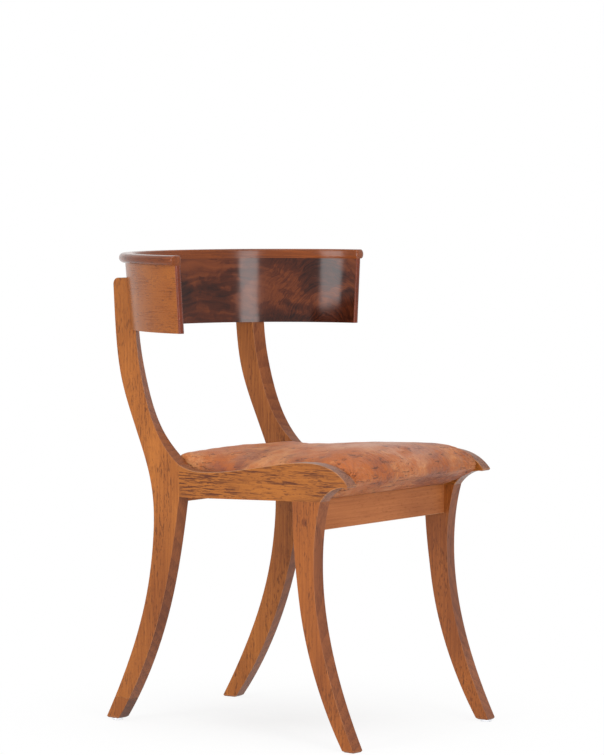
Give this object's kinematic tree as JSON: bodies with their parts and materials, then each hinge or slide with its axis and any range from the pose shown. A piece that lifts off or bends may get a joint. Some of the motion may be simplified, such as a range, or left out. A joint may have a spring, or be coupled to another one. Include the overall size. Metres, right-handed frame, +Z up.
{
  "type": "klismos chair",
  "caption": "Klismos dining chair with splayed sabre legs, scrolled seat rails, a horseshoe backrest and a lift-out leather slip seat.",
  "frame": {"origin": "on the floor, under the middle of the chair's overall width and depth", "axes": "+Z up, -Y towards the front, -X towards the sitter's right hand"},
  "size_m": [0.5092, 0.5428, 0.7493],
  "materials": {
    "legs": "satin French polish, straight grain, honey brown",
    "rails": "satin French polish, dark pore streaks along the rail",
    "front_rail": "worn satin polish, plain grain",
    "inner_veneer": "high gloss polish over dark figured veneer",
    "outer_veneer": "gloss polish over light speckled veneer",
    "bead": "high gloss polish, dark brown",
    "edging": "gloss polish, reddish brown",
    "beech": "bare, planed",
    "leather": "aged, creased and stained, dull sheen",
    "stuffing": "curled horsehair",
    "webbing": "jute weave",
    "calico": "plain weave",
    "steel": "dull",
    "glides": "nickel plated, scuffed"
  },
  "bodies": {
    "frame": {"rear_foot_splice_right": "legs", "rear_leg_right": "legs", "rear_leg_left": "legs", "front_leg_right": "legs", "front_leg_left": "legs", "side_rail_right": "rails", "side_rail_left": "rails", "leg_dowels": "beech", "front_rail": "front_rail", "rear_rail": "front_rail", "seat_cleat_right": "beech", "seat_cleat_left": "beech", "seat_cleat_rear": "beech", "cleat_pins": "steel", "backrest_core": "beech", "backrest_outer_veneer": "outer_veneer", "backrest_inner_veneer": "inner_veneer", "top_bead_right": "bead", "top_bead_left": "bead", "end_edging_right": "edging", "end_edging_left": "edging", "backrest_screws": "steel", "screw_plugs": "legs", "glide_rear_right": "glides", "glide_front_left": "glides", "glide_nails": "steel"},
    "seat": {"seat_cover": "leather", "seat_padding": "stuffing", "slip_frame_rear": "beech", "slip_frame_front": "beech", "slip_frame_left": "beech", "slip_frame_right": "beech", "slip_frame_dowels": "beech", "webbing_long": "webbing", "webbing_cross": "webbing", "bottom_cloth": "calico", "cloth_tacks": "steel"}
  },
  "joints": [
    {"name": "seat_lift", "type": "slide", "parent": "frame", "child": "seat", "axis": [0, 0, 1], "range_m": [0, 0.12]}
  ]
}
